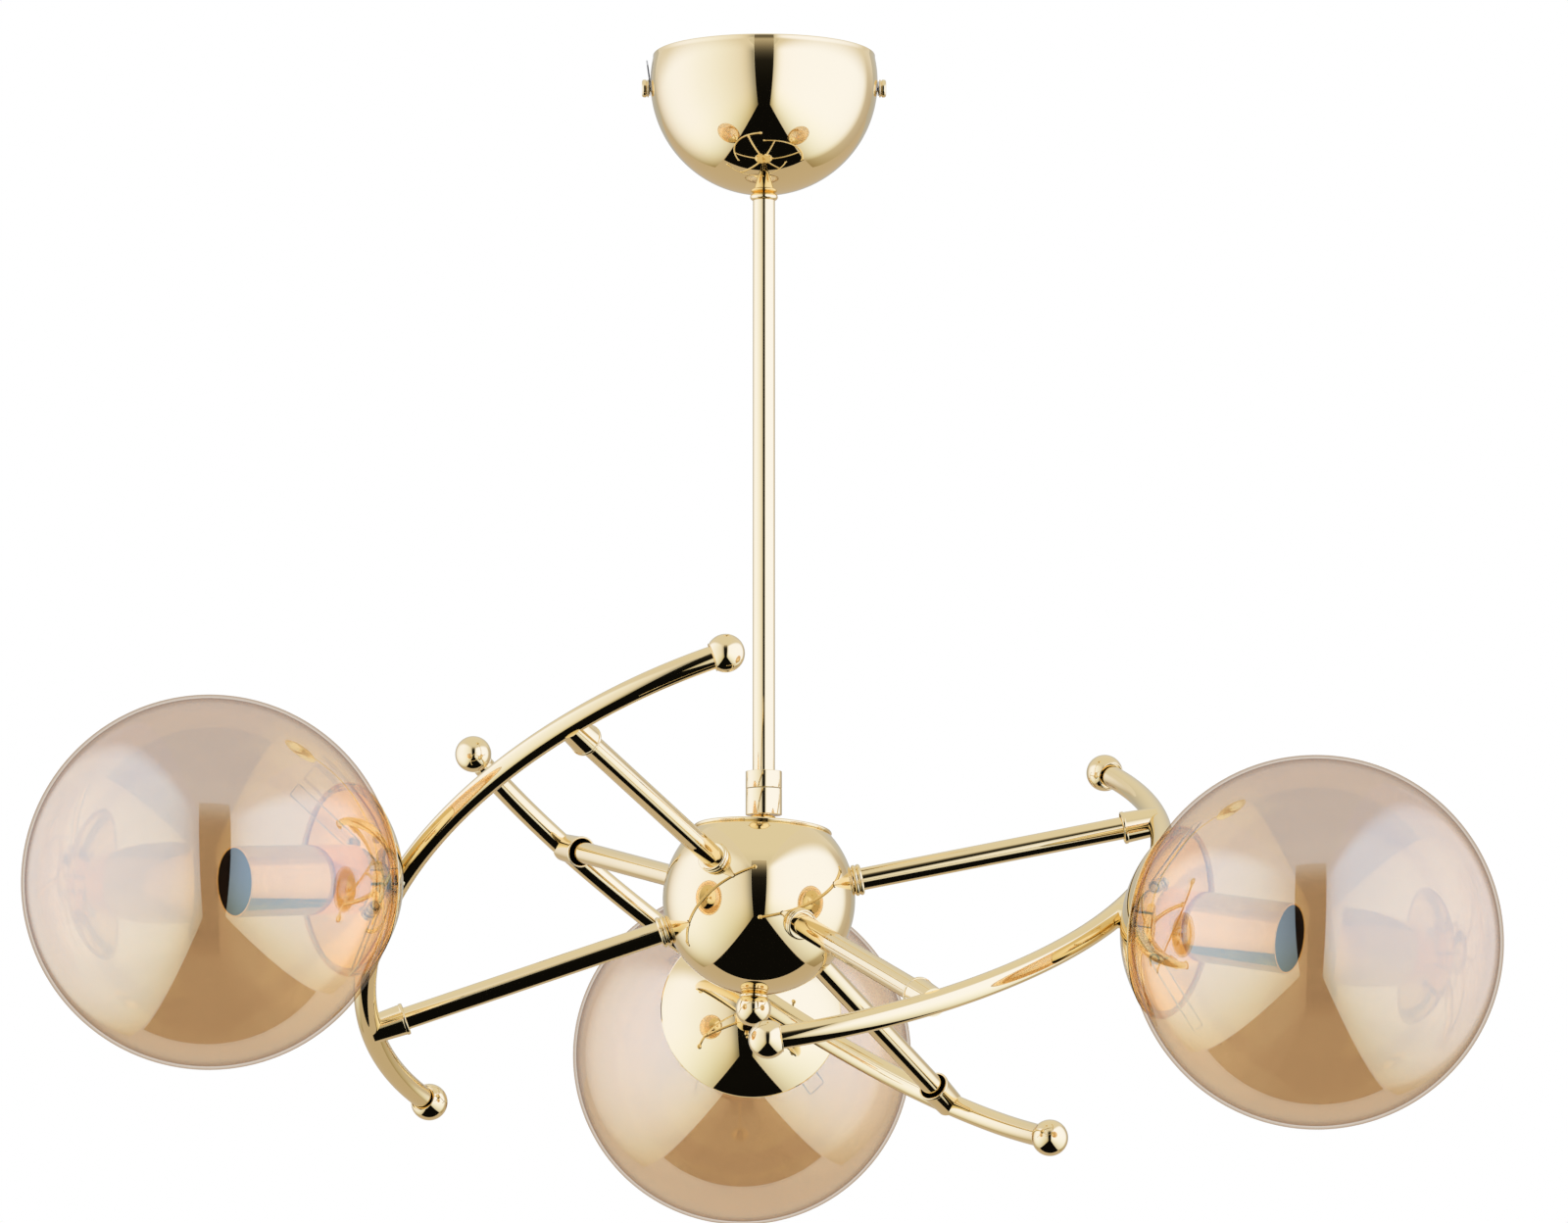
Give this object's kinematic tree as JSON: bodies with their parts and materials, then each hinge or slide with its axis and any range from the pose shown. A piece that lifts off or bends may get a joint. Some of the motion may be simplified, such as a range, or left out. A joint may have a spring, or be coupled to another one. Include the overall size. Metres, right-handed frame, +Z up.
{
  "type": "ceiling light",
  "caption": "Ceiling light: a rod under a dome canopy carries a ball hub whose arms hold curved ball-ended tubes, each with a clipped glass globe.",
  "frame": {"origin": "middle of the ceiling face of the bracket, at ceiling height", "axes": "+Z up along the rod; the picture is seen from -Y with +X to the right"},
  "size_m": [0.7907, 0.7171, 0.6362],
  "materials": {
    "polished_gold": "mirror polished pale gold plating",
    "smoke_glass": "thin champagne mirror coating",
    "bright_steel": "bright zinc",
    "raw_brass": "plain threaded tube",
    "holder_white": "white moulded holder"
  },
  "bodies": {
    "ceiling_fitting": {"ceiling_bracket": "bright_steel", "connector_block": "holder_white", "canopy": "polished_gold", "side_tabs": "bright_steel", "side_screws": "polished_gold", "canopy_nut": "bright_steel", "rod_nipple": "raw_brass", "rod_bead": "polished_gold", "rod": "polished_gold", "collar_upper": "polished_gold", "collar_lower": "polished_gold"},
    "light_frame": {"ball_stud": "polished_gold", "hub_lid": "polished_gold", "hub_shell": "polished_gold", "hub_tube": "raw_brass", "hub_nut": "bright_steel", "finial_ring": "polished_gold", "finial_ball": "polished_gold", "arm_rings": "polished_gold", "arm_1_upper": "polished_gold", "arm_1_lower": "polished_gold", "arm_2_upper": "polished_gold", "arm_2_lower": "polished_gold", "arm_3_upper": "polished_gold", "arm_3_lower": "polished_gold", "cup_1_upper": "polished_gold", "cup_1_lower": "polished_gold", "cup_2_upper": "polished_gold", "cup_2_lower": "polished_gold", "cup_3_upper": "polished_gold", "cup_3_lower": "polished_gold", "arc_1": "polished_gold", "arc_2": "polished_gold", "arc_3": "polished_gold", "arc_balls_1": "polished_gold", "arc_balls_2": "polished_gold", "arc_balls_3": "polished_gold", "lamp_studs": "polished_gold", "dish_1": "polished_gold", "dish_2": "polished_gold", "dish_3": "polished_gold", "strip_1": "bright_steel", "strip_2": "bright_steel", "strip_3": "bright_steel", "sleeve_1": "polished_gold", "sleeve_2": "polished_gold", "sleeve_3": "polished_gold", "lampholder_1": "holder_white", "lampholder_2": "holder_white", "lampholder_3": "holder_white"},
    "globe_1_body": {"globe_1": "smoke_glass"},
    "spring_1_upper_body": {"spring_1_upper": "bright_steel"},
    "spring_1_lower_body": {"spring_1_lower": "bright_steel"},
    "globe_2_body": {"globe_2": "smoke_glass"},
    "spring_2_upper_body": {"spring_2_upper": "bright_steel"},
    "spring_2_lower_body": {"spring_2_lower": "bright_steel"},
    "globe_3_body": {"globe_3": "smoke_glass"},
    "spring_3_upper_body": {"spring_3_upper": "bright_steel"},
    "spring_3_lower_body": {"spring_3_lower": "bright_steel"}
  },
  "joints": [
    {"name": "frame_swivel", "type": "hinge", "parent": "ceiling_fitting", "child": "light_frame", "pos_m": [0, 0, -0.4242], "axis": [0, 0, 1], "range_deg": [-170, 170]},
    {"name": "globe_1_pull", "type": "slide", "parent": "light_frame", "child": "globe_1_body", "axis": [-0.8337, -0.5474, -0.073], "range_m": [0, 0.072]},
    {"name": "spring_1_upper_fold", "type": "hinge", "parent": "light_frame", "child": "spring_1_upper_body", "pos_m": [-0.22353, -0.12477, -0.4601], "axis": [0.4635, -0.7655, 0.4464], "range_deg": [0, 58]},
    {"name": "spring_1_lower_fold", "type": "hinge", "parent": "light_frame", "child": "spring_1_lower_body", "pos_m": [-0.21153, -0.13831, -0.49577], "axis": [-0.4635, 0.7655, -0.4464], "range_deg": [0, 58]},
    {"name": "globe_2_pull", "type": "slide", "parent": "light_frame", "child": "globe_2_body", "axis": [0.8729, -0.4589, -0.1658], "range_m": [0, 0.072]},
    {"name": "spring_2_upper_fold", "type": "hinge", "parent": "light_frame", "child": "spring_2_upper_body", "pos_m": [0.21295, -0.13489, -0.48148], "axis": [0.4876, 0.8074, 0.3323], "range_deg": [0, 58]},
    {"name": "spring_2_lower_fold", "type": "hinge", "parent": "light_frame", "child": "spring_2_lower_body", "pos_m": [0.21369, -0.12006, -0.51862], "axis": [-0.4876, -0.8074, -0.3323], "range_deg": [0, 58]},
    {"name": "globe_3_pull", "type": "slide", "parent": "light_frame", "child": "globe_3_body", "axis": [-0.0625, 0.9732, -0.2212], "range_m": [0, 0.072]},
    {"name": "spring_3_upper_fold", "type": "hinge", "parent": "light_frame", "child": "spring_3_upper_body", "pos_m": [-0.02082, 0.24551, -0.50125], "axis": [-0.7192, -0.1976, -0.6661], "range_deg": [0, 58]},
    {"name": "spring_3_lower_fold", "type": "hinge", "parent": "light_frame", "child": "spring_3_lower_body", "pos_m": [0.00686, 0.24081, -0.52974], "axis": [0.7192, 0.1976, 0.6661], "range_deg": [0, 58]}
  ],
  "couplings": [
    {"joint": "spring_1_upper_fold", "follows": "globe_1_pull", "rad_per_m": 13.963},
    {"joint": "spring_1_lower_fold", "follows": "globe_1_pull", "rad_per_m": 13.963},
    {"joint": "spring_2_upper_fold", "follows": "globe_2_pull", "rad_per_m": 13.963},
    {"joint": "spring_2_lower_fold", "follows": "globe_2_pull", "rad_per_m": 13.963},
    {"joint": "spring_3_upper_fold", "follows": "globe_3_pull", "rad_per_m": 13.963},
    {"joint": "spring_3_lower_fold", "follows": "globe_3_pull", "rad_per_m": 13.963}
  ]
}
